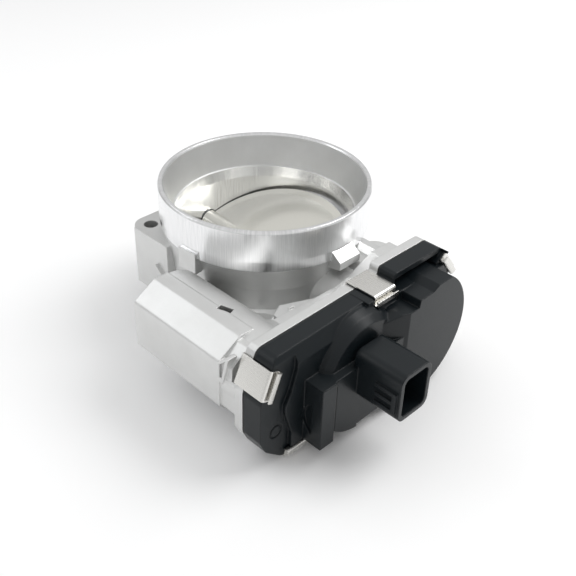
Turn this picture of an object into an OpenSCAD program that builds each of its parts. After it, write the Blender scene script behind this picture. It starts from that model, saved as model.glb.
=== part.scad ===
// Electronic throttle body, four-bolt, with an inlet collar for a duct coupler.
// Frame: origin where the bore axis crosses the manifold flange face, +Z up the
// bore to the inlet collar, +X along the throttle shaft to the gear cover, and
// the motor barrel on the -Y side. Millimetres.

/* [Bore and collar] */
// Diameter of the machined bore that the plate closes
bore_d = 85; // [70:0.5:95]
// Outside diameter of the inlet collar that the duct coupler slides over
collar_d = 101.6; // [90:0.1:110]
// Height of the collar rim above the flange face
body_h = 58; // [50:0.5:75]
// Height where the machined collar starts
collar_z = 37.6; // [30:0.1:45]
// Height of the throttle shaft axis above the flange face
shaft_z = 17; // [14:0.5:25]

/* [Flange] */
// Centre distance of the four bolt holes, both ways
bolt_sq = 78.7; // [70:0.1:90]
// Diameter of each bolt clearance hole
bolt_d = 7; // [6:0.1:9]
// Outer radius of a bolt ear
ear_r = 8; // [7:0.5:11]
// Height of the tall bolt ears
ear_h = 31; // [20:0.5:40]
// Thickness of the flange
flange_t = 13; // [8:0.5:18]

/* [Throttle plate] */
// Tilt of the plate from level when it rests on its springs, degrees
rest_tilt = 20; // [8:0.5:30]
// Tilt of the plate when it is fully closed, degrees
closed_tilt = 8; // [4:0.5:12]
// Plate thickness
plate_t = 2.4; // [1.5:0.1:4]
// Radial gap between the plate edge and the bore
plate_gap = 0.3; // [0.1:0.05:0.6]
// Throttle shaft diameter
shaft_d = 10; // [8:0.5:12]

/* [Gears] */
// Teeth on the full circle of the sector gear
sector_n = 48; // [40:1:70]
// Teeth on the small wheel of the intermediate gear
small_n = 27; // [14:1:30]
// Module of the sector and the small wheel
mod_1 = 1.0; // [0.8:0.05:1.25]
// Teeth on the large wheel of the intermediate gear
large_n = 57; // [40:1:70]
// Teeth on the motor pinion
pinion_n = 14; // [12:1:24]
// Module of the large wheel and the pinion
mod_2 = 0.8; // [0.6:0.05:1.0]
// Angle of the line from the intermediate gear up to the motor, degrees
motor_rise = 5; // [0:0.5:12]
// Circumferential play of each gear
gear_play = 0.16; // [0.05:0.01:0.3]

/* [Gear case] */
// Distance from the bore axis to the floor of the gear case
floor_x = 60; // [56:0.5:66]
// Distance to the back of the lip that the clips hook behind
lip_x = 71; // [70:0.5:72]
// Distance to the joint face of the gear case
joint_x = 75.5; // [72:0.5:80]
// Gasket thickness
gasket_t = 0.8; // [0.5:0.1:1.5]
// Distance to the flat low face of the cover
low_x = 88; // [84:0.5:92]
// Distance to the raised faces of the cover
high_x = 98; // [94:0.5:102]
// Distance to the mouth of the connector
mouth_x = 119; // [110:0.5:125]

/* [Motor] */
// Diameter of the motor can
motor_d = 31.4; // [26:0.1:34]
// Distance to the closed end of the motor barrel
barrel_x = 8; // [0:0.5:14]

/* [Output] */
// Which sub-part to draw

/* [Hidden] */
$fn = 96;
eps = 0.01;
bore_r = bore_d / 2;
collar_r = collar_d / 2;
shaft_r = shaft_d / 2;
plate_r = bore_r - plate_gap;
dome_h = 6.2;
dome_r = 153;
ear_at = bolt_sq / 2;
sector_r = mod_1 * sector_n / 2;
small_r = mod_1 * small_n / 2;
large_r = mod_2 * large_n / 2;
pinion_r = mod_2 * pinion_n / 2;
mid_y = -(sector_r + small_r);
mid_z = shaft_z;
mot_y = mid_y - (large_r + pinion_r) * cos(motor_rise);
mot_z = mid_z + (large_r + pinion_r) * sin(motor_rise);
can_r = motor_d / 2;
barrel_r = can_r + 0.3;
cover_x = joint_x + gasket_t;
shelf_z = 24.6;
deep_x = lip_x + 1.4;
sector_x = 72.8;
sector_t = 4.4;
small_x = 72.8;
large_x = 78.4;
large_t = 4.5;
disc_r = 31;
bulge_r = 26.6;
hub_r = 8;
insert_r = 6.6;
spring_r = 11;
wire_r = 0.9;
screw_at = [-60, 0];
clip_t = 0.8;
sock_y = [-40.6, -21.8];
sock_z = [8.5, 31.8];

cast_colour = [0.80, 0.81, 0.80];
machined_colour = [0.88, 0.89, 0.90];
steel_colour = [0.70, 0.71, 0.72];
black_colour = [0.07, 0.08, 0.085];
brass_colour = [0.78, 0.62, 0.34];
copper_colour = [0.72, 0.42, 0.26];
rubber_colour = [0.05, 0.05, 0.05];
gear_colour = [0.86, 0.84, 0.76];

// outlines with their corners rounded to radius r
function unit(v) = v / norm(v);
function corner(a, b, c, r, n) =
  let (u = unit(a - b), w = unit(c - b), half = acos(u * w) / 2,
       d = min(r / tan(half), 0.42 * min(norm(a - b), norm(c - b))),
       centre = b + unit(u + w) * d / cos(half), p = b + u * d - centre, q = b + w * d - centre)
  [for (k = [0 : n]) centre + unit(p * (1 - k / n) + q * k / n) * d * tan(half)];
function rounded(pts, r, n = 4) =
  [for (i = [0 : len(pts) - 1])
    each corner(pts[(i + len(pts) - 1) % len(pts)], pts[i], pts[(i + 1) % len(pts)], r, n)];

// outline of the gear case joint, seen from the cover side, as [y, z]
case_corners = [[-76.5, 41.5], [-84, 23], [-84, 3], [-81, -3.5], [-72, -11.5], [-14, -12],
                [-14, -14], [20, -14], [32, -6], [38, 4], [38, 33], [26.5, 47], [-5.6, 47.2],
                [-5.6, 42.6], [-24, 42.4]];
case_outline = rounded(case_corners, 4);
// inside of the gear case
case_inside = [[-74.6, 38.4], [-81.2, 22.4], [-81.2, 4], [-70.6, -8.8], [-4, -8.8], [-4, 39.4]];
// the motor barrel's section
barrel_outline = rounded([[-84.8, 8.5], [-84.8, 31.6], [-73.4, 38.3], [-66, 38.3], [-47.5, 19],
                          [-44, 10], [-44, 0], [-77, 0]], 1.8, 3);
// the shallower part of the case behind the lip, its outside and its inside
low_outline = rounded([[-75.8, 36], [-79.2, 25], [-84, 25], [-84, 9], [-77, 0.6], [-64, -5],
                       [-50, -12], [-14, -12], [-14, -14], [20, -14], [31, -7], [34, 2], [34, 30],
                       [25, 38], [12, 38], [4, 34.6], [-3, 31.4], [-12, 30], [-24, 30.2],
                       [-50, 31.5], [-58, 36]], 2, 3);
low_inside = [[-71, 33], [-76, 24], [-80, 22], [-80, 11], [-74, 4], [-60, -2.4], [-46, -9.2],
              [10, -9.2], [14, 0], [14, 24], [6, 27.6], [-48, 27.6], [-55, 33]];
// inside of the cover over the hubs
cover_low = [[-74.8, 35], [-81.2, 22.4], [-81.2, 4], [-70.6, -8.8], [16, -8.8], [26, 4], [26, 28],
             [17, 37], [-12, 37], [-20, 35]];

// a solid that runs along X; its 2-D children are drawn as [y, z]
module along_x(x0, len) {
  translate([x0, 0, 0]) rotate([90, 0, 90]) linear_extrude(len) children();
}

// a round bar along X between two stations
module bar_x(x0, x1, r, y = 0, z = 0) {
  translate([x0, y, z]) rotate([0, 90, 0]) cylinder(h = x1 - x0, r = r);
}

module tube_x(x0, x1, r_out, r_in, y = 0, z = 0) {
  difference() {
    bar_x(x0, x1, r_out, y, z);
    bar_x(x0 - 1, x1 + 1, r_in, y, z);
  }
}

// a box given by its corners
module span(a, b) {
  translate(a) cube(b - a);
}

// involute of an angle, and half the tooth angle at radius r
function inva(a) = tan(a) * 180 / PI - a;
function half_tooth(r, n, m, play) =
  let (rp = n * m / 2, rb = rp * cos(20))
  90 / n - play / 4 / rp * 180 / PI + inva(20) - (r > rb ? inva(acos(rb / r)) : 0);

// one tooth centred on angle c, from its left root over the tip to its right root
function tooth_pts(c, n, m, play) =
  let (rp = n * m / 2, rb = rp * cos(20), rf = rp - 1.2 * m, ra = rp + m * 0.98,
       r0 = max(rb, rf), rs = [for (k = [0 : 4]) r0 + (ra - r0) * k / 4],
       root = half_tooth(r0, n, m, play))
  concat([[rf * cos(c - root), rf * sin(c - root)]],
         [for (r = rs) let (h = half_tooth(r, n, m, play)) [r * cos(c - h), r * sin(c - h)]],
         [for (k = [4 : -1 : 0]) let (r = rs[k], h = half_tooth(r, n, m, play))
           [r * cos(c + h), r * sin(c + h)]],
         [[rf * cos(c + root), rf * sin(c + root)]]);

module wheel_2d(n, m, phase) {
  polygon([for (i = [0 : n - 1]) each tooth_pts(phase + i * 360 / n, n, m, gear_play)]);
}

// the space the gears turn in
module case_space() {
  polygon(case_inside);
  translate([0, shaft_z]) circle(r = sector_r + 1.5);
  intersection() {
    translate([0, shaft_z]) circle(r = sector_r + 3);
    translate([-5, -30]) square([60, 100]);
  }
}

module ear_holes() {
  for (sx = [-1, 1], sy = [-1, 1])
    translate([sx * ear_at, sy * ear_at, -1]) cylinder(h = 60, r = bolt_d / 2);
}

// ---------------------------------------------------------------- housing

module neck_outside() {
  rotate_extrude()
    polygon([[0, 0], [48.4, 0], [48.4, flange_t], [46.8, flange_t + 2], [47.2, 26], [49.2, 35.6],
             [49.6, collar_z], [collar_r - 0.7, collar_z], [collar_r - 0.35, collar_z + 0.4],
             [collar_r, 43], [collar_r, body_h - 0.8], [collar_r - 0.6, body_h], [0, body_h]]);
}

module bore_inside() {
  rotate_extrude()
    polygon([[0, -1], [bore_r + 0.8, -1], [bore_r + 0.8, 0], [bore_r, 0.8], [bore_r, 36.6],
             [bore_r + 1.0, 42], [bore_r + 1.8, 42], [48.0, body_h - 0.8], [48.5, body_h],
             [48.5, body_h + 1], [0, body_h + 1]]);
}

module flange_ears() {
  linear_extrude(flange_t)
    polygon([[-47.3, -39], [-47.3, 39], [-39, 47.3], [39, 47.3], [48, 40], [59, 30], [59, -60],
             [20, -60], [8, -50], [-10, -47.3], [-39, -47.3]]);
  for (sx = [-1, 1], sy = [-1, 1]) {
    h = sx > 0 ? (sy > 0 ? 19 : flange_t + 0.6) : ear_h;
    translate([sx * ear_at, sy * ear_at, 0]) cylinder(h = h, r = ear_r);
    if (sx < 0) {
      span([-ear_at - 3, sy > 0 ? 30 : -ear_at - ear_r, 0], [-17, sy > 0 ? ear_at + ear_r : -30, ear_h]);
      span([-ear_at - ear_r, sy > 0 ? 20 : -ear_at, 0], [-30, sy > 0 ? ear_at : -20, ear_h]);
    }
  }
  // small brace from the tall ear down to the barrel
  translate([-22, -47.4, 14]) rotate([0, 40, 0]) cube([10, 3, 3], center = true);
}

module collar_lugs() {
  // square lug that keys the duct coupler, on the shaft side
  translate([0, 6.6, 0]) rotate([90, 0, 0]) linear_extrude(13.2)
    polygon([[44, 33.6], [49, 33.6], [55.6, 35.2], [55.6, 38.8], [50.4, 42.6], [44, 42.6]]);
  // small lug on the motor side
  rotate([0, 0, -86]) span([44, -5.4, 30.6], [51.9, 5.4, 41]);
}

module barrel_solid() {
  along_x(barrel_x, 62.7 - barrel_x) polygon(barrel_outline);
  // the barrel runs on to the case lip a little lower
  along_x(62.5, lip_x - 62.5)
    polygon(rounded([[-83.2, 9], [-83.2, 30.4], [-74.9, 36.8], [-60, 36.8], [-60, 9]], 1.6, 3));
  bar_x(barrel_x + 0.4, lip_x + 0.3, barrel_r + 2.4, mot_y, mot_z);
  // end boss of the barrel
  bar_x(barrel_x - 2, barrel_x + 1, 9, mot_y, mot_z);
  // slanted brace beside the case lip
  translate([0, -80, 0]) rotate([90, 0, 0]) linear_extrude(4.7) difference() {
    polygon([[62, 21.5], [62, 31], [66.6, 35.6], [68.4, 35.6], [64.8, 21.5]]);
    polygon([[63, 24], [63, 30.4], [66.4, 33.8], [64.2, 24]]);
  }
}

module case_solid() {
  along_x(floor_x - 2.5, lip_x - floor_x + 2.6) polygon(low_outline);
  along_x(lip_x, joint_x - lip_x) polygon(case_outline);
  // bearing boss, needle bearing boss and intermediate pin boss
  bar_x(40, floor_x, 14, 0, shaft_z);
  bar_x(-61, -40, 11.5, 0, shaft_z);
  bar_x(48, floor_x, 6.5, mid_y, mid_z);
  // webs from the neck to the gear case
  along_x(44, floor_x + 1 - 44)
    polygon([[-9, 0], [-9, 27], [4, 30.5], [11, 36.4], [15, 38], [20, 37], [23, 33], [24, 0]]);
  linear_extrude(30) polygon([[50.7, -39.5], [57.6, -23.6], [60.6, -20], [60.6, -46.6], [54, -46]]);
  along_x(55.4, 1) polygon([[-39, 28], [-39, 31], [-36.4, 31.4], [-36.4, 28]]);
}

module throttle_housing() {
  color(cast_colour) difference() {
    union() {
      neck_outside();
      flange_ears();
      collar_lugs();
      barrel_solid();
      case_solid();
    }
    bore_inside();
    ear_holes();
    // below the flange face only the overhanging gear case stays
    span([-70, -100, -30], [floor_x - 2.5 - eps, 100, 0]);
    // shaft bores and bearing seats
    bar_x(-62, 75, shaft_r + 0.4, 0, shaft_z);
    bar_x(-62, -46, 7, 0, shaft_z);
    bar_x(45.5, 51, 8, 0, shaft_z);
    bar_x(50.5, floor_x + 1, 9.5, 0, shaft_z);
    // gear case cavity
    along_x(floor_x, 30) polygon(low_inside);
    bar_x(floor_x, deep_x + 1, spring_r + wire_r + 0.6, 0, shaft_z);
    along_x(deep_x, 30) case_space();
    // pocket behind the lip for each clip hook
    for (c = clip_places) clip_at(c) span([68.8, -7.3, -1.9], [lip_x, 7.3, 4]);
    // motor bore with its wave-washer seat, and the vent slot
    bar_x(barrel_x + 3, floor_x + 1.9, barrel_r, mot_y, mot_z);
    bar_x(barrel_x + 1, barrel_x + 4, 6.5, mot_y, mot_z);
    translate([45, mot_y + 0.6, mot_z + 15]) rotate([0, 0, 20]) cube([6.2, 3.4, 14], center = true);
    // intermediate pin hole and stop screw hole
    bar_x(51, floor_x + 1, 2.5, mid_y, mid_z);
    translate([73.4, 3.6, 30]) rotate([-90, 0, 0]) cylinder(h = 46, r = 1.36);
    // motor screw holes
    for (a = screw_at)
      bar_x(56.6, floor_x + 1, 1.75, mot_y + 19.5 * cos(a), mot_z + 19.5 * sin(a));
    // the lip stands lower under the clip on the slanted corner
    clip_at(clip_places[3]) span([68, -7.3, 0.38], [80, 7.3, 6]);
    // weight pockets in the flange, open downwards
    for (s = [-1, 1]) translate([0, s * 45.2, -1]) cube([22, 2.4, 8], center = true);
  }
  // cast stop for the wide open plate
  color(cast_colour) span([floor_x - eps, 2.6, -11], [75.4, 7.4, -3]);
}

// ---------------------------------------------------------------- plate and shaft

module tilted(a) {
  translate([0, 0, shaft_z]) rotate([a, 0, 0]) translate([0, 0, -shaft_z]) children();
}

module throttle_plate() {
  color(machined_colour) tilted(rest_tilt - closed_tilt) difference() {
    intersection() {
      cylinder(h = 60, r = plate_r);
      tilted(closed_tilt) union() {
        span([-50, -60, shaft_z - plate_t / 2], [50, 60, shaft_z + plate_t / 2]);
        // low dome over the middle, and a half-round ridge that carries on the shaft's line
        intersection() {
          translate([0, 0, shaft_z + dome_h - dome_r]) sphere(r = dome_r, $fn = 200);
          translate([0, 0, shaft_z]) cylinder(h = 12, r = 41.4);
        }
        intersection() {
          bar_x(-41.8, 41.8, shaft_r, 0, shaft_z);
          span([-50, -8, shaft_z], [50, 8, shaft_z + 8]);
        }
      }
    }
    tilted(closed_tilt) for (x = [-14, 14])
      translate([x, 0, shaft_z - 2]) cylinder(h = 5.4, r = 1.8);
  }
}

module throttle_shaft() {
  color(steel_colour) difference() {
    union() {
      bar_x(-56.4, 76.4, shaft_r, 0, shaft_z);
      bar_x(76.3, 77.9, 3.4, 0, shaft_z);
    }
    // flat that the plate lies on
    tilted(rest_tilt) span([-42.3, -8, shaft_z - plate_t / 2], [42.3, 8, shaft_z + 9]);
    tilted(rest_tilt) for (x = [-14, 14]) {
      translate([x, 0, shaft_z - 4]) cylinder(h = 10, r = 1.8);
      translate([x, 0, shaft_z - 9]) cylinder(h = 6, r = 3.3);
    }
    // groove for the retaining ring, and flats for the gear insert
    difference() {
      bar_x(57.8, 58.9, 7, 0, shaft_z);
      bar_x(57, 60, 4.5, 0, shaft_z);
    }
    for (s = [-1, 1]) span([66, s > 0 ? 4 : -8, shaft_z - 8], [80, s > 0 ? 8 : -4, shaft_z + 8]);
  }
}

module plate_screws() {
  color(steel_colour) tilted(rest_tilt) for (x = [-14, 14]) difference() {
    union() {
      translate([x, 0, shaft_z - 3.1]) cylinder(h = 6.5, r = 1.8);
      translate([x, 0, shaft_z - 4.9]) cylinder(h = 1.9, r = 3.2);
    }
    translate([x, 0, shaft_z - 6]) cylinder(h = 2.2, r = 1.5, $fn = 6);
  }
}

module shaft_seals() {
  color(rubber_colour) {
    tube_x(46.2, 49.8, 8, shaft_r + 0.05, 0, shaft_z);
    tube_x(-48.2, -46.1, 7, shaft_r + 0.05, 0, shaft_z);
  }
}

module needle_bearing() {
  color(steel_colour) tube_x(-56.2, -48.3, 7, shaft_r + 0.05, 0, shaft_z);
}

module bearing_outer() {
  color(steel_colour) difference() {
    tube_x(52, 57, 9.5, 8.2, 0, shaft_z);
    translate([54.5, 0, shaft_z]) rotate([0, 90, 0]) rotate_extrude() translate([7.25, 0]) circle(r = 1.25);
  }
}

module bearing_inner() {
  color(steel_colour) difference() {
    tube_x(52, 57, 6.3, shaft_r, 0, shaft_z);
    translate([54.5, 0, shaft_z]) rotate([0, 90, 0]) rotate_extrude() translate([7.25, 0]) circle(r = 1.25);
  }
}

module bearing_balls() {
  color(steel_colour) for (i = [0 : 10])
    translate([54.5, 7.25 * cos(i * 360 / 11), shaft_z + 7.25 * sin(i * 360 / 11)]) sphere(r = 1.2);
}

module shaft_ring() {
  color(steel_colour) difference() {
    tube_x(57.9, 58.7, 6.6, 4.6, 0, shaft_z);
    span([57, -1.6, shaft_z], [60, 1.6, shaft_z + 9]);
  }
}

module shaft_plug() {
  color(steel_colour) bar_x(-60.6, -58.8, 7, 0, shaft_z);
}

// ---------------------------------------------------------------- gears

module sector_gear() {
  teeth = [for (i = [14 : 27]) each tooth_pts(i * 360 / sector_n, sector_n, mod_1, gear_play)];
  color(gear_colour) difference() {
    union() {
      along_x(sector_x, sector_t) translate([0, shaft_z]) union() {
        polygon(concat(teeth, [[-6, -7.5], [6, -7.5], [9, 0], [5, 8], [-1.5, 20]]));
        circle(r = hub_r + 2);
      }
      bar_x(61.2, 85, hub_r, 0, shaft_z);
      bar_x(84.9, 90.6, 7.2, 0, shaft_z);
      // stiffening rib beside the teeth
      along_x(sector_x + sector_t - 0.2, 1.0) translate([0, shaft_z]) difference() {
        circle(r = 21.8);
        circle(r = 19.4);
        polygon([[0, 0], [-60, -22.8], [0, -60], [60, -60], [60, 60], [-10.5, 60]]);
      }
    }
    bar_x(60, 76.6, insert_r, 0, shaft_z);
    bar_x(76.5, 78.5, 3.6, 0, shaft_z);
    bar_x(86.4, 92, 5.9, 0, shaft_z);
    // lightening slot
    along_x(60, 30) translate([0, shaft_z]) intersection() {
      difference() {
        circle(r = 19.5);
        circle(r = 13);
      }
      polygon([[0, 0], [-40, 20], [-40, -8]]);
    }
  }
}

module gear_insert() {
  color(steel_colour) difference() {
    bar_x(61.2, 76.6, insert_r, 0, shaft_z);
    intersection() {
      bar_x(60, 80, shaft_r, 0, shaft_z);
      union() {
        span([58, -4, shaft_z - 8], [80, 4, shaft_z + 8]);
        bar_x(58, 66, shaft_r, 0, shaft_z);
      }
    }
  }
}

module spring_sleeve() {
  color([0.25, 0.26, 0.27]) {
    tube_x(60.9, 71.6, 9.7, hub_r, 0, shaft_z);
  }
}

// helical wire about X
function helix_pt(t, turns, len) =
  [61.8 + len * t, spring_r * cos(360 * turns * t + 30), shaft_z + spring_r * sin(360 * turns * t + 30)];

module return_spring() {
  turns = 3.2;
  len = 8.4;
  n = 84;
  sides = 8;
  rings = [for (i = [0 : n]) let (t = i / n, c = helix_pt(t, turns, len),
             a = 360 * turns * t + 30, out = [0, cos(a), sin(a)])
           for (k = [0 : sides - 1]) let (b = 360 * k / sides)
             c + wire_r * (cos(b) * out + sin(b) * [1, 0, 0])];
  color(steel_colour) {
    polyhedron(
      points = rings,
      faces = concat(
        [[for (k = [0 : sides - 1]) k]],
        [for (i = [0 : n - 1], k = [0 : sides - 1])
          [i * sides + k, (i + 1) * sides + k, (i + 1) * sides + (k + 1) % sides, i * sides + (k + 1) % sides]],
        [[for (k = [sides - 1 : -1 : 0]) n * sides + k]]));
  }
}

module sensor_magnet() {
  color([0.20, 0.20, 0.22]) tube_x(86.5, 90.4, 5.9, 2.4, 0, shaft_z);
}

module intermediate_pin() {
  color(steel_colour) bar_x(51.2, 87, 2.5, mid_y, mid_z);
}

module intermediate_gear() {
  color(gear_colour) difference() {
    union() {
      along_x(small_x, large_x - small_x + 0.1) translate([mid_y, mid_z]) wheel_2d(small_n, mod_1, 180 / small_n);
      difference() {
        along_x(large_x, large_t) translate([mid_y, mid_z])
          wheel_2d(large_n, mod_2, 180 - motor_rise + 180 / large_n);
        tube_x(large_x + 3.4, large_x + 9, 20.5, 8, mid_y, mid_z);
        for (i = [0 : 5]) bar_x(large_x - 1, large_x + 9, 3.6,
                                mid_y + 14.2 * cos(60 * i), mid_z + 14.2 * sin(60 * i));
      }
      bar_x(60.8, 84.6, 5, mid_y, mid_z);
    }
    bar_x(60, 90, 2.55, mid_y, mid_z);
  }
}

// ---------------------------------------------------------------- motor

module motor_pinion() {
  color(brass_colour) difference() {
    along_x(78, 5.4) translate([mot_y, mot_z]) wheel_2d(pinion_n, mod_2, -motor_rise);
    bar_x(70, 90, 1.6, mot_y, mot_z);
  }
}

module motor_shaft() {
  color(steel_colour) bar_x(12.6, 83.6, 1.6, mot_y, mot_z);
}

module armature_core() {
  color([0.42, 0.43, 0.44]) difference() {
    bar_x(22, 43, 10.6, mot_y, mot_z);
    bar_x(20, 45, 1.6, mot_y, mot_z);
    for (i = [0 : 4]) translate([0, mot_y, mot_z]) rotate([72 * i, 0, 0]) span([20, -0.7, 8], [45, 0.7, 12]);
  }
}

module armature_windings() {
  color(copper_colour) {
    tube_x(18.6, 21.9, 9, 2.2, mot_y, mot_z);
    tube_x(43.1, 46.4, 9, 2.2, mot_y, mot_z);
  }
}

module commutator() {
  color(copper_colour) difference() {
    tube_x(47.2, 54, 4.4, 1.6, mot_y, mot_z);
    for (i = [0 : 4]) translate([0, mot_y, mot_z]) rotate([72 * i + 36, 0, 0]) span([46, -0.3, 3.6], [55, 0.3, 6]);
  }
}

module motor_brushes() {
  color([0.18, 0.17, 0.17]) for (s = [-1, 1])
    span([49, mot_y - 1.5, s > 0 ? mot_z + 4.5 : mot_z - 9], [52.4, mot_y + 1.5, s > 0 ? mot_z + 9 : mot_z - 4.5]);
}

module motor_magnets() {
  color([0.25, 0.25, 0.27]) intersection() {
    tube_x(20, 45, can_r - 1.3, 11.2, mot_y, mot_z);
    union() {
      span([10, mot_y - 40, mot_z + 3.5], [60, mot_y + 40, mot_z + 40]);
      span([10, mot_y - 40, mot_z - 40], [60, mot_y + 40, mot_z - 3.5]);
    }
  }
}

module motor_can() {
  color(steel_colour) difference() {
    union() {
      bar_x(14.6, 56, can_r, mot_y, mot_z);
      bar_x(11.9, 14.7, 5.5, mot_y, mot_z);
    }
    bar_x(15.8, 57, can_r - 1.3, mot_y, mot_z);
    bar_x(12.3, 16, 4.2, mot_y, mot_z);
  }
}

module motor_bushings() {
  color(brass_colour) {
    tube_x(12.4, 15.8, 4.2, 1.65, mot_y, mot_z);
    tube_x(57, 61.8, 4.2, 1.65, mot_y, mot_z);
  }
}

module motor_end_cap() {
  color([0.16, 0.17, 0.18]) difference() {
    union() {
      bar_x(56, 59.8, can_r, mot_y, mot_z);
      bar_x(54.6, 56.1, can_r - 1.4, mot_y, mot_z);
      for (s = [-1, 1])
        span([47.6, mot_y - 2.6, s > 0 ? mot_z + 6 : mot_z - 10.5], [56, mot_y + 2.6, s > 0 ? mot_z + 10.5 : mot_z - 6]);
    }
    bar_x(50, 57, 3.0, mot_y, mot_z);
    bar_x(56.9, 60, 4.2, mot_y, mot_z);
    for (s = [-1, 1])
      span([48.9, mot_y - 1.5, s > 0 ? mot_z + 4 : mot_z - 9], [52.4, mot_y + 1.5, s > 0 ? mot_z + 9 : mot_z - 4]);
    for (s = [-1, 1]) span([50, mot_y - 1.1, mot_z + s * 12 - 0.4], [61, mot_y + 1.1, mot_z + s * 12 + 0.4]);
  }
}

module motor_terminals() {
  color(brass_colour) for (s = [-1, 1])
    span([53.5, mot_y - 1.1, mot_z + s * 12 - 0.4], [70, mot_y + 1.1, mot_z + s * 12 + 0.4]);
}

module motor_plate() {
  color(steel_colour) difference() {
    along_x(floor_x, 1.8) union() {
      translate([mot_y, mot_z]) circle(r = 15.2);
      for (a = screw_at) translate([mot_y + 19.5 * cos(a), mot_z + 19.5 * sin(a)]) circle(r = 3.6);
      for (a = screw_at) translate([mot_y, mot_z]) rotate(a) translate([8, -3.6]) square([11.5, 7.2]);
    }
    bar_x(50, 70, 4.2, mot_y, mot_z);
    for (s = [-1, 1]) span([50, mot_y - 2.2, mot_z + s * 12 - 1.4], [70, mot_y + 2.2, mot_z + s * 12 + 1.4]);
    for (a = screw_at) bar_x(50, 70, 1.75, mot_y + 19.5 * cos(a), mot_z + 19.5 * sin(a));
  }
}

module motor_screws() {
  color(steel_colour) for (a = screw_at) difference() {
    union() {
      bar_x(56.8, floor_x + 1.9, 1.75, mot_y + 19.5 * cos(a), mot_z + 19.5 * sin(a));
      bar_x(floor_x + 1.8, floor_x + 4.0, 3.1, mot_y + 19.5 * cos(a), mot_z + 19.5 * sin(a));
    }
    translate([floor_x + 3, mot_y + 19.5 * cos(a), mot_z + 19.5 * sin(a)]) rotate([0, 90, 0])
      cylinder(h = 4, r = 1.5, $fn = 6);
  }
}

module wave_washer() {
  color(steel_colour) tube_x(barrel_x + 3, barrel_x + 3.7, 14.4, 9, mot_y, mot_z);
}

module stop_screw() {
  color(steel_colour) difference() {
    translate([73.4, 5.2, 30]) rotate([-90, 0, 0]) cylinder(h = 32, r = 1.3);
    translate([73.4, 35.2, 30]) rotate([-90, 0, 0]) cylinder(h = 4, r = 0.8, $fn = 6);
  }
}

// ---------------------------------------------------------------- cover

module cover_ring_2d() {
  polygon(case_outline);
}

module cover_outside() {
  // skirt and low face, with the top edge sloped towards the face
  difference() {
    along_x(cover_x, low_x - cover_x) cover_ring_2d();
    // slope along the top edge
    translate([0, -90, 0]) rotate([-90, 0, 0]) mirror([0, 1, 0]) linear_extrude(84)
      polygon([[83.8, 42.8], [low_x + 1, 34], [low_x + 1, 50], [83.8, 50]]);
    // the corner by the motor stands lower
    along_x(low_x - 2, 10) polygon([[-90, -20], [-68.3, -20], [-68.3, 1], [-72.2, 13], [-72.2, 17], [-69, 23],
                                    [-66, 33], [-66, 50], [-90, 50]]);
    // the pocket behind the raised tab
    span([84.5, -20, 40], [low_x + 5, 27, 60]);
    span([80.5, -5, 40], [low_x + 5, 24.5, 44.5]);
    // right hand side falls back beyond the round face
    along_x(81, 10) polygon([[28, -20], [60, -20], [60, 60], [34, 60], [28, 40]]);
  }
  // round face over the throttle shaft, flat on top and falling back towards the motor side
  difference() {
    along_x(78, high_x - 78) intersection() {
      translate([0, shaft_z]) circle(r = disc_r);
      polygon([[-40, -20], [60, -20], [60, 42], [9, 42], [5, 40], [-3.4, 39.8], [-4, 36.2], [-13, 36.2],
               [-25, 33], [-40, 33]]);
    }
    translate([0, 0, 16]) linear_extrude(40) polygon([[98.5, -8.4], [92.6, -22.4], [92.6, -45], [98.5, -45]]);
  }
  // round bulge over the intermediate gear, lower and smaller above the shelf
  along_x(78, high_x - 0.8 - 78) intersection() {
    translate([-35, mid_z + 0.2]) circle(r = bulge_r);
    translate([-80, -40]) square([80, shelf_z + 40]);
  }
  translate([78, -30.4, 15.6]) rotate([0, 90, 0]) {
    cylinder(h = 8, r = 26.2);
    translate([0, 0, 8]) cylinder(h = 4, r1 = 26.2, r2 = 25);
    translate([0, 0, 12]) cylinder(h = 3, r1 = 25, r2 = 22.6);
  }
  // block over the motor terminals, and the shelf that carries its top across
  span([low_x - 2.5, -61.8, -6.8], [high_x, -53.8, shelf_z]);
  span([low_x - 2.5, -54.2, 6], [high_x - 0.8, -40, shelf_z]);
  // clip pads
  span([cover_x, -24.4, 38], [86, -6.3, 42.55]);
  span([85.9, -24.4, 38], [87, -20.6, 42.55]);
  for (c = clip_places) clip_at(c) span([cover_x, -7.2, -6], [86, 7.2, -0.05]);
  // connector shell
  span_rounded([high_x - 3, sock_y[0], sock_z[0]], [mouth_x, sock_y[1], sock_z[1]], 4);
  // ribs that the mating plug latches on
  for (z = [13.2, 17.6, 22]) span([mouth_x - 12, sock_y[0] - 1.2, z], [mouth_x - 1.5, sock_y[0] + 1, z + 1.5]);
  span([mouth_x - 3.4, sock_y[0] - 1.2, 13.2], [mouth_x - 1.4, sock_y[0] + 1, 23.5]);
}

// a box along X with rounded edges
module span_rounded(a, b, r) {
  along_x(a[0], b[0] - a[0]) rounded_2d(a[1], a[2], b[1], b[2], r);
}

module rounded_2d(y0, z0, y1, z1, r) {
  union() {
    translate([y0 + r, z0]) square([y1 - y0 - 2 * r, z1 - z0]);
    translate([y0, z0 + r]) square([y1 - y0, z1 - z0 - 2 * r]);
    for (y = [y0 + r, y1 - r], z = [z0 + r, z1 - r]) translate([y, z]) circle(r = r);
  }
}

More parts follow.
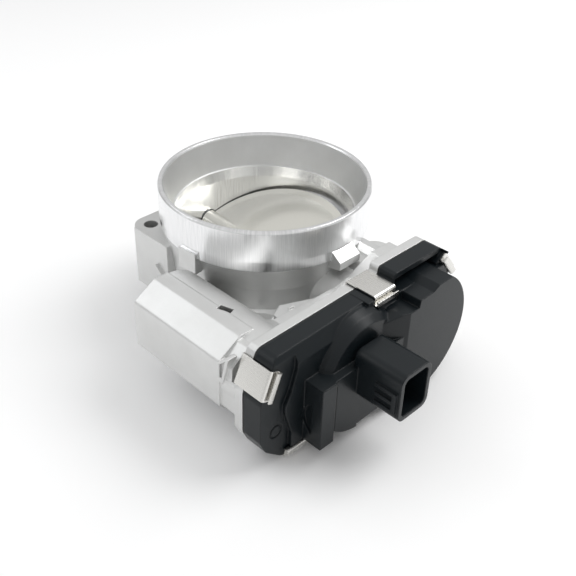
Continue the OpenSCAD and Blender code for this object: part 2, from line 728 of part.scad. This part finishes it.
module gear_cover() {
  color(black_colour) difference() {
    union() {
      difference() {
        cover_outside();
        // inside over the whole case
        along_x(cover_x - 1, 78 - cover_x + 1) intersection() {
          case_space();
          translate([-90, -20]) square([117, 64]);
        }
        along_x(cover_x - 1, 84 - cover_x + 1) polygon(cover_low);
        // inside of the round face and of the bulge
        bar_x(83, high_x - 2.4, 19.4, 4, shaft_z);
        bar_x(76, 84.5, large_r + 1.2, mid_y, mid_z);
        intersection() {
          bar_x(83, 94.6, bulge_r - 3.2, -35, mid_z + 0.2);
          span([80, -52, -20], [100, -10, shelf_z - 2.4]);
        }
        bar_x(83, 90.2, 20.4, -30.4, 15.6);
      }
      // boss that holds the free end of the intermediate pin
      bar_x(84.9, 96, 4.6, mid_y, mid_z);
    }
    bar_x(84, 87.2, 2.5, mid_y, mid_z);
    // half-round recess in the side of the terminal block
    intersection() {
      translate([96.6, -63, 6.4]) rotate([-90, 0, 0]) cylinder(h = 2.6, r = 9);
      span([85, -64, -4], [92.3, -60, 18]);
    }
    // connector socket
    span_rounded([high_x + 1.5, sock_y[0] + 2, sock_z[0] + 2], [mouth_x + 1, sock_y[1] - 2, sock_z[1] - 2], 2.6);
    pin_slots(0.05);
    // round mark-free dimple near the corner
    translate([low_x - 2.4, -75.4, 4.6]) rotate([0, 90, 0]) difference() {
      cylinder(h = 2, r = 3.4);
      cylinder(h = 2, r = 2.5);
    }
    // shallow groove beside the block
    span([high_x - 1.3, -53.2, -9.5], [high_x + 1, -52.6, shelf_z - 3]);
    // recess for each clip hook, and room under the sunk clip
    for (c = clip_places) clip_at(c) span([86, -7.3, -4.3], [99, 7.3, 2]);
    clip_at(clip_places[3]) span([68, -7.3, 0.38], [99, 7.3, 3]);
  }
}

module pin_slots(g) {
  for (y = [-35.4, -31.2, -27], z = [16.6, 23.8])
    span([89.6, y - 0.8 - g, z - 0.32 - g], [107, y + 0.8 + g, z + 0.32 + g]);
}

module connector_pins() {
  color(brass_colour) pin_slots(0);
}

module cover_gasket() {
  color(rubber_colour) along_x(joint_x, gasket_t) difference() {
    intersection() {
      polygon(case_outline);
      translate([-83.4, -13.4]) square([120.8, 60]);
    }
    case_space();
    translate([clip_places[3][0], clip_places[3][1]]) rotate(clip_places[3][2]) translate([-7.3, 0.38]) square([14.6, 6]);
  }
}

module position_sensor() {
  color([0.10, 0.32, 0.18]) difference() {
    along_x(92.6, 1.6) translate([3, shaft_z]) intersection() {
      circle(r = 15);
      translate([-20, -12]) square([40, 24]);
    }
    for (s = [-1, 1]) bar_x(92, 95, 1.2, 3 + s * 10, shaft_z);
  }
  color(rubber_colour) span([91.4, -3, shaft_z - 3], [92.6, 3, shaft_z + 3]);
}

// clip places: [y, z, angle] of the middle of the clip on the outline, the
// angle turning the outward normal from +Z towards -Y
clip_places = [[-13.5, 42.6, 0], [-80.6, 31.4, 67.9], [-64, -11.6, 180], [31.4, 39, -50.6],
               [38, 12, -90], [-31, -11.9, 180]];

module clip_at(c) {
  translate([0, c[0], c[1]]) rotate([c[2], 0, 0]) children();
}

module spring_clip() {
  // flat back over the joint
  span([lip_x - 0.8, -6.6, 0.4], [86.8, 6.6, 0.4 + clip_t]);
  // hook behind the lip
  span([lip_x - 0.8, -6.6, -1.5], [lip_x, 6.6, 0.5]);
  // hook over the front of the cover
  span([86, -6.6, -3.9], [86.8, 6.6, 0.5]);
}

module cover_clips() {
  color(machined_colour) for (c = clip_places) clip_at(c) spring_clip();
}

throttle_housing();
throttle_plate();
throttle_shaft();
plate_screws();
shaft_seals();
needle_bearing();
bearing_outer();
bearing_inner();
bearing_balls();
shaft_ring();
shaft_plug();
sector_gear();
gear_insert();
spring_sleeve();
return_spring();
sensor_magnet();
intermediate_pin();
intermediate_gear();
motor_pinion();
motor_shaft();
armature_core();
armature_windings();
commutator();
motor_brushes();
motor_magnets();
motor_can();
motor_bushings();
motor_end_cap();
motor_terminals();
motor_plate();
motor_screws();
wave_washer();
stop_screw();
gear_cover();
connector_pins();
cover_gasket();
position_sensor();
cover_clips();
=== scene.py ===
import math

import bpy
from mathutils import Matrix, Vector


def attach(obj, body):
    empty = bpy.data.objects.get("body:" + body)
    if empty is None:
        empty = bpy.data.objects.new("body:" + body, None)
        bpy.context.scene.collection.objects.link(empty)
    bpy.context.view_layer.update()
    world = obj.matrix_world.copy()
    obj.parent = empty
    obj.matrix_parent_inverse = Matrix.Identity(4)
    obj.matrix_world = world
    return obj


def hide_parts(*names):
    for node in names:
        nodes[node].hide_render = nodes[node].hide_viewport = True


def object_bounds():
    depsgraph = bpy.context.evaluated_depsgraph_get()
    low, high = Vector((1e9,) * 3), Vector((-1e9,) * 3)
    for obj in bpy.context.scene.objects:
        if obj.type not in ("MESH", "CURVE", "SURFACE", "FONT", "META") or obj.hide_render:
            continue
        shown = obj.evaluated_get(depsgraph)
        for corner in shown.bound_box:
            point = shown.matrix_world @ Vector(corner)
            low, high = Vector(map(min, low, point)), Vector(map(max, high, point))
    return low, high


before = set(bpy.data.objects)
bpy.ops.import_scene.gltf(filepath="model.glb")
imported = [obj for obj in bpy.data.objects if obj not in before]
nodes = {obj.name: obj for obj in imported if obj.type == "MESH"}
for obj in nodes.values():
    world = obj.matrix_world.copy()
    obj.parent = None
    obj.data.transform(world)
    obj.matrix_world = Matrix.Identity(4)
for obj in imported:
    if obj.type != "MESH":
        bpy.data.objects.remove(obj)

cadBox = [[float(v) for v in corner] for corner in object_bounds()]


# a shader socket that can be used in sums
class Signal:
    def __init__(self, finish, socket):
        self.finish, self.socket = finish, socket

    def sum(self, operation, first, second):
        return self.finish.add("ShaderNodeMath", {"operation": operation}, {0: first, 1: second})

    def __add__(self, other):
        return self.sum("ADD", self, other)

    def __radd__(self, other):
        return self.sum("ADD", other, self)

    def __sub__(self, other):
        return self.sum("SUBTRACT", self, other)

    def __rsub__(self, other):
        return self.sum("SUBTRACT", other, self)

    def __mul__(self, other):
        return self.sum("MULTIPLY", self, other)

    def __rmul__(self, other):
        return self.sum("MULTIPLY", other, self)

    def __pow__(self, other):
        return self.sum("POWER", self, other)

    def __gt__(self, other):
        return self.sum("GREATER_THAN", self, other)

    def __lt__(self, other):
        return self.sum("LESS_THAN", self, other)


# a material with one surface shader and the nodes that feed it
class Finish:
    def __init__(self, name, **fixed):
        self.material = bpy.data.materials.new(name)
        self.material.use_nodes = True
        self.tree = self.material.node_tree
        self.shader = self.tree.nodes["Principled BSDF"]
        for label, value in fixed.items():
            self.shader.inputs[label.replace("_", " ")].default_value = value
        self.place = self.add("ShaderNodeTexCoord", {}, {}, "Object")

    def add(self, kind, settings, sockets, output=0):
        node = self.tree.nodes.new(kind)
        for label, value in settings.items():
            setattr(node, label, value)
        for label, value in sockets.items():
            if isinstance(value, Signal):
                self.tree.links.new(value.socket, node.inputs[label])
            else:
                node.inputs[label].default_value = value
        return Signal(self, node.outputs[output])

    def feed(self, label, signal):
        self.tree.links.new(signal.socket, self.shader.inputs[label])

    def axis(self, index):
        return self.add("ShaderNodeSeparateXYZ", {}, {0: self.place}, index)

    def noise(self, scale, detail, rough, at=None):
        sockets = {"Vector": at or self.place, "Scale": scale, "Detail": detail, "Roughness": rough}
        return self.add("ShaderNodeTexNoise", {}, sockets)

    def stretched(self, scale):
        return self.add("ShaderNodeMapping", {}, {"Vector": self.place, "Scale": scale})

    def rise(self, value, low, high):
        sockets = {"Value": value, "From Min": low, "From Max": high, "To Min": 0.0, "To Max": 1.0}
        return self.add("ShaderNodeMapRange", {"interpolation_type": "SMOOTHSTEP"}, sockets)

    def mix(self, factor, first, second):
        first, second = (c if isinstance(c, Signal) else (*c, 1) for c in (first, second))
        return self.add("ShaderNodeMix", {"data_type": "RGBA"}, {0: factor, 6: first, 7: second}, 2)

    def bump(self, height, strength, depth, edge):
        # the bevel rounds the normal over sharp edges
        rounded = self.add("ShaderNodeBevel", {"samples": 4}, {"Radius": edge})
        sockets = {"Height": height, "Strength": strength, "Distance": depth, "Normal": rounded}
        self.feed("Normal", self.add("ShaderNodeBump", {}, sockets))


def mixValue(factor, first, second):
    return first * (1 - factor) + second * factor


def between(value, low, high):
    return (value > low) * (value < high)


def dress(names, finish):
    for name in names.split():
        nodes[name].data.materials.clear()
        nodes[name].data.materials.append(finish.material)


cameraSet = {"place": (0.26080, -0.25286, 0.25002), "azimuth": 46.097, "elevation": 34.468, "roll": 0.623,
             "lens": 53.93, "sensor": 36, "shiftX": 0.0471, "shiftY": -0.0186, "nearest": 0.01, "farthest": 20}


def placeCamera():
    c = cameraSet
    azimuth, elevation, roll = (math.radians(c[k]) for k in ("azimuth", "elevation", "roll"))
    level = math.cos(elevation)
    ahead = Vector((-math.sin(azimuth) * level, math.cos(azimuth) * level, -math.sin(elevation)))
    right = Vector((math.cos(azimuth), math.sin(azimuth), 0))
    up = right.cross(ahead)
    across = right * math.cos(roll) + up * math.sin(roll)
    above = up * math.cos(roll) - right * math.sin(roll)
    data = bpy.data.cameras.new("camera")
    data.lens, data.sensor_width = c["lens"], c["sensor"]
    data.shift_x, data.shift_y = c["shiftX"], c["shiftY"]
    data.clip_start, data.clip_end = c["nearest"], c["farthest"]
    camera = bpy.data.objects.new("camera", data)
    turn = Matrix((across, above, -ahead)).transposed().to_4x4()
    camera.matrix_world = Matrix.Translation(c["place"]) @ turn
    bpy.context.collection.objects.link(camera)
    bpy.context.scene.camera = camera


placeCamera()
print("camera placed")

floorSet = {"size": 3.0, "gap": 0.0002, "white": 0.98, "roughness": 0.7, "shine": 0.1}


def layFloor():
    c = floorSet
    half = c["size"] / 2
    low = cadBox[0][2] - c["gap"]
    corners = [(-half, -half, low), (half, -half, low), (half, half, low), (-half, half, low)]
    sheet = bpy.data.meshes.new("floor")
    sheet.from_pydata(corners, [], [(0, 1, 2, 3)])
    floor = bpy.data.objects.new("floor", sheet)
    bpy.context.collection.objects.link(floor)
    white = (c["white"], c["white"], c["white"], 1)
    paper = Finish("whitePaper", Base_Color=white, Roughness=c["roughness"], Specular_IOR_Level=c["shine"])
    sheet.materials.append(paper.material)


# sky strengths, and the height of the view direction at which the sky is at its brightest
skySet = {"horizon": 0.46, "overhead": 0.74, "fullAt": 0.75}


def paintSky():
    # brighter overhead than at the horizon, so that the metal has something to show
    world = bpy.data.worlds.new("studio")
    bpy.context.scene.world = world
    world.use_nodes = True
    tree = world.node_tree
    way = tree.nodes.new("ShaderNodeTexCoord")
    split = tree.nodes.new("ShaderNodeSeparateXYZ")
    fade = tree.nodes.new("ShaderNodeMapRange")
    fade.interpolation_type = "SMOOTHSTEP"
    fade.inputs["From Min"].default_value = 0.0
    fade.inputs["From Max"].default_value = skySet["fullAt"]
    fade.inputs["To Min"].default_value = skySet["horizon"]
    fade.inputs["To Max"].default_value = skySet["overhead"]
    tree.links.new(way.outputs["Generated"], split.inputs[0])
    tree.links.new(split.outputs[2], fade.inputs["Value"])
    tree.links.new(fade.outputs[0], tree.nodes["Background"].inputs["Strength"])
    tree.nodes["Background"].inputs["Color"].default_value = (1, 1, 1, 1)


lightSet = {
    "keyBox": {"place": (0.30, 0.50, 0.75), "aim": (0.02, -0.02, 0.02), "size": (0.55, 0.55),
               "power": 4.2, "tint": (1, 1, 1)},
    "sideBox": {"place": (-0.55, -0.35, 0.55), "aim": (0, -0.03, 0.02), "size": (0.5, 0.35),
                "power": 1.0, "tint": (0.96, 0.98, 1)}}


def hangLights():
    for name, c in lightSet.items():
        lamp = bpy.data.lights.new(name, "AREA")
        lamp.shape = "RECTANGLE"
        lamp.size, lamp.size_y = c["size"]
        lamp.energy, lamp.color = c["power"], c["tint"]
        holder = bpy.data.objects.new(name, lamp)
        holder.location = c["place"]
        holder.rotation_euler = (Vector(c["aim"]) - Vector(c["place"])).to_track_quat("-Z", "Y").to_euler()
        bpy.context.collection.objects.link(holder)


layFloor()
paintSky()
bpy.context.scene.view_settings.view_transform = "Standard"
hangLights()
print("floor and lights set")

# colours and roughness of the raw casting and of its machined faces; on the machined faces the light and dark
# vertical streaks in the colour are painted reflection bands over the metal's own colour
castSet = {"dark": (0.66, 0.66, 0.65), "light": (0.80, 0.805, 0.80), "roughness": 0.40, "roughSpread": 0.2,
           "cutMetalAndPaintedShade": (0.80, 0.805, 0.81), "cutMetalAndPaintedSheen": (0.93, 0.93, 0.935), "cutRoughness": 0.14,
           "cutSpread": 0.16, "grainScale": 2300, "cloudScale": 55, "linesRound": 120.0, "linesUp": 60.0,
           "ringsUp": 6000.0, "lineShare": 0.75, "bump": 0.3, "depth": 0.0001, "edge": 0.0005}
# where the casting is machined, as heights and as radii from the axis of the bore
cutSet = {"collarLow": 0.0377, "collarIn": 0.0501, "collarOut": 0.0512, "boreLow": 0.0002,
          "boreTop": 0.0419, "boreIn": 0.0422, "boreOut": 0.0447, "rimLow": 0.0573, "flangeTop": 0.0001}


def machinedZone(f, radius, z):
    c = cutSet
    collar = between(radius, c["collarIn"], c["collarOut"]) * (z > c["collarLow"])
    bore = between(radius, c["boreIn"], c["boreOut"]) * between(z, c["boreLow"], c["boreTop"])
    zone = z < c["flangeTop"]
    for part in (collar, bore, (z > c["rimLow"]) * (radius < c["collarOut"])):
        zone = f.add("ShaderNodeMath", {"operation": "MAXIMUM"}, {0: zone, 1: part})
    return zone


def castAluminium():
    c = castSet
    f = Finish("castAluminium", Metallic=1.0)
    x, y, z = f.axis(0), f.axis(1), f.axis(2)
    zone = machinedZone(f, (x * x + y * y) ** 0.5, z)
    grain = f.noise(c["grainScale"], 3, 0.65)
    cloud = f.noise(c["cloudScale"], 4, 0.6)
    around = f.add("ShaderNodeMath", {"operation": "ARCTAN2"}, {0: y, 1: x})
    wrapped = f.add("ShaderNodeCombineXYZ", {}, {0: around * c["linesRound"], 1: z * c["linesUp"]})
    lines = f.add("ShaderNodeTexNoise", {"noise_dimensions": "2D"},
                  {"Vector": wrapped, "Scale": 1.0, "Detail": 3.0})
    rings = f.add("ShaderNodeTexNoise", {"noise_dimensions": "1D"},
                  {"W": z * c["ringsUp"], "Scale": 1.0, "Detail": 2.0})
    marks = lines * c["lineShare"] + rings * (1 - c["lineShare"])
    rawRough = grain * c["roughSpread"] + c["roughness"]
    cutRough = marks * c["cutSpread"] + c["cutRoughness"]
    f.feed("Roughness", mixValue(zone, rawRough, cutRough))
    rawColour = f.mix(cloud, c["dark"], c["light"])
    # painted reflection: vertical light and dark streaks mixed into the machined faces' colour stand in for
    # stretched highlights
    cutColourWithPaintedSheen = f.mix(f.rise(lines, 0.3, 0.7), c["cutMetalAndPaintedShade"], c["cutMetalAndPaintedSheen"])
    f.feed("Base Color", f.mix(zone, rawColour, cutColourWithPaintedSheen))
    f.bump(mixValue(zone, grain, marks), c["bump"], c["depth"], c["edge"])
    return f


polishSet = {"spread": 0.12, "depth": 0.0001, "edge": 0.0003}


def polished(name, colour, roughness, scale, strength=0.08):
    c = polishSet
    f = Finish(name, Base_Color=(*colour, 1), Metallic=1.0)
    brushed = f.noise(1, 3, 0.6, f.stretched(scale))
    f.feed("Roughness", brushed * c["spread"] + (roughness - c["spread"] / 2))
    f.bump(brushed, strength, c["depth"], c["edge"])
    return f


plasticSet = {"fineScale": 2200, "fineSpread": 0.16, "cloudScale": 60, "cloudSpread": 0.06, "tone": 0.15,
              "depth": 0.0001}


def plastic(name, colour, roughness, edge=0.0005, grain=0.15, shine=0.5):
    c = plasticSet
    f = Finish(name, Specular_IOR_Level=shine)
    fine = f.noise(c["fineScale"], 2, 0.6)
    cloud = f.noise(c["cloudScale"], 3, 0.6)
    least = roughness - (c["fineSpread"] + c["cloudSpread"]) / 2
    f.feed("Roughness", fine * c["fineSpread"] + cloud * c["cloudSpread"] + least)
    dark, light = (tuple(v * tone for v in colour) for tone in (1 - c["tone"], 1 + c["tone"]))
    f.feed("Base Color", f.mix(cloud, dark, light))
    f.bump(fine, grain, c["depth"], edge)
    return f


# how closely the marks on steel repeat along X, Y and Z: on a shaft they run round the X axis
alongX, evenly = (3000, 200, 200), (900, 900, 900)

dress("throttle_housing", castAluminium())
dress("throttle_plate", polished("polishedPlate", (0.80, 0.79, 0.73), 0.2, (300, 300, 3000), strength=0.04))
groundSteel = polished("groundSteel", (0.60, 0.61, 0.62), 0.28, alongX)
dress("throttle_shaft gear_insert intermediate_pin motor_shaft shaft_plug", groundSteel)
dress("bearing_balls bearing_inner bearing_outer needle_bearing", groundSteel)
dress("plate_screws motor_screws stop_screw shaft_ring wave_washer motor_plate return_spring",
      polished("platedSteel", (0.58, 0.58, 0.57), 0.34, evenly))
# painted shade: the motor can is coloured near black so that the vent slot in the barrel reads dark; the can
# itself is steel
dress("motor_can", polished("canPaintedSlotShade", (0.03, 0.03, 0.032), 0.5, evenly))
satinSteel = polished("satinStainless", (0.74, 0.73, 0.70), 0.27, (150, 2500, 2500), strength=0.05)
dress("cover_clips", satinSteel)
dress("gear_cover",
      plastic("blackNylon", (0.0058, 0.0088, 0.0108), 0.33, edge=0.0008, grain=0.12, shine=0.30))
dress("sector_gear intermediate_gear", plastic("naturalNylon", (0.72, 0.68, 0.56), 0.45))
dress("spring_sleeve motor_end_cap", plastic("darkNylon", (0.03, 0.03, 0.032), 0.5))
dress("shaft_seals cover_gasket", plastic("moldedRubber", (0.02, 0.02, 0.02), 0.7))
dress("sensor_magnet motor_magnets", plastic("sinteredMagnet", (0.06, 0.06, 0.065), 0.55))
dress("motor_pinion motor_bushings motor_terminals connector_pins",
      polished("brass", (0.80, 0.60, 0.28), 0.25, evenly))
dress("armature_windings commutator", polished("copper", (0.75, 0.38, 0.20), 0.3, evenly))
dress("armature_core", polished("laminatedSteel", (0.35, 0.36, 0.37), 0.4, (9000, 100, 100), strength=0.3))
dress("motor_brushes", plastic("carbon", (0.02, 0.02, 0.02), 0.6))
dress("position_sensor", plastic("circuitBoard", (0.02, 0.12, 0.06), 0.35))
print("finishes set")

# spring clips: bent strips that hook behind the case lip and over the front of the cover
# each place is the strip's middle across the case, then its turn about X in degrees
clipSet = {"lipX": 0.0706, "lipDrop": 0.0015, "frontX": 0.0864, "frontDrop": 0.0034, "over": 0.0008,
           "curlOut": 0.0019, "curlRise": 0.0026, "width": 0.0132, "thick": 0.0008, "bend": 0.0009,
           "bendSteps": 5, "edge": 0.00012, "edgeSteps": 2, "edgeAngle": 50,
           "places": ((-0.0135, 0.0426, 0), (-0.0806, 0.0314, 67.9), (-0.064, -0.0116, 180),
                      (0.0314, 0.0390, -50.6), (0.038, 0.012, -90), (-0.031, -0.0119, 180))}


def roundedPath(corners, radius, steps):
    path = [corners[0]]
    for before, here, after in zip(corners, corners[1:], corners[2:]):
        back, on = before - here, after - here
        reach = min(radius, back.length * 0.49, on.length * 0.49)    # just under half of the shorter side
        start, end = here + back.normalized() * reach, here + on.normalized() * reach
        for k in range(steps + 1):
            t = k / steps
            path.append(start * (1 - t) ** 2 + here * 2 * t * (1 - t) + end * t ** 2)
    return path + [corners[-1]]


def stripProfile(path, thick):
    left, right = [], []
    last = len(path) - 1
    for i, point in enumerate(path):
        along = (path[min(i + 1, last)] - path[max(i - 1, 0)]).normalized()
        side = Vector((-along.y, along.x)) * thick / 2
        left.append(point + side)
        right.append(point - side)
    return left + right[::-1]


def clipOutline():
    c = clipSet
    curlX = c["frontX"] + c["curlOut"]
    corners = [(c["lipX"], -c["lipDrop"]), (c["lipX"], c["over"]), (c["frontX"], c["over"]),
               (c["frontX"], -c["frontDrop"]), (curlX, -c["frontDrop"]),
               (curlX, c["curlRise"] - c["frontDrop"])]
    return stripProfile(roundedPath([Vector(p) for p in corners], c["bend"], c["bendSteps"]), c["thick"])


def bendClips():
    c = clipSet
    outline = clipOutline()
    count = len(outline)
    points, faces = [], []
    for y, z, turn in c["places"]:
        spin = Matrix.Translation((0, y, z)) @ Matrix.Rotation(math.radians(turn), 4, "X")
        first = len(points)
        for side in (-c["width"] / 2, c["width"] / 2):
            points += [spin @ Vector((p.x, side, p.y)) for p in outline]
        for i in range(count):
            j = (i + 1) % count
            faces.append((first + i, first + j, first + count + j, first + count + i))
        # the two flat sides of the strip, one face for each step along it
        for a in range(count // 2 - 1):
            b, far, near = a + 1, count - 2 - a, count - 1 - a
            faces.append((first + near, first + far, first + b, first + a))
            faces.append(tuple(first + count + n for n in (a, b, far, near)))
    sheet = bpy.data.meshes.new("bentClips")
    sheet.from_pydata(points, [], faces)
    sheet.update()
    sheet.shade_smooth()
    clips = bpy.data.objects.new("bentClips", sheet)
    bpy.context.collection.objects.link(clips)
    soften = clips.modifiers.new("soften", "BEVEL")
    soften.width, soften.segments = c["edge"], c["edgeSteps"]
    soften.limit_method, soften.angle_limit = "ANGLE", math.radians(c["edgeAngle"])
    soften.harden_normals = True
    sheet.materials.append(satinSteel.material)
    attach(clips, "housing")
    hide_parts("cover_clips")


bendClips()
print("clips bent")
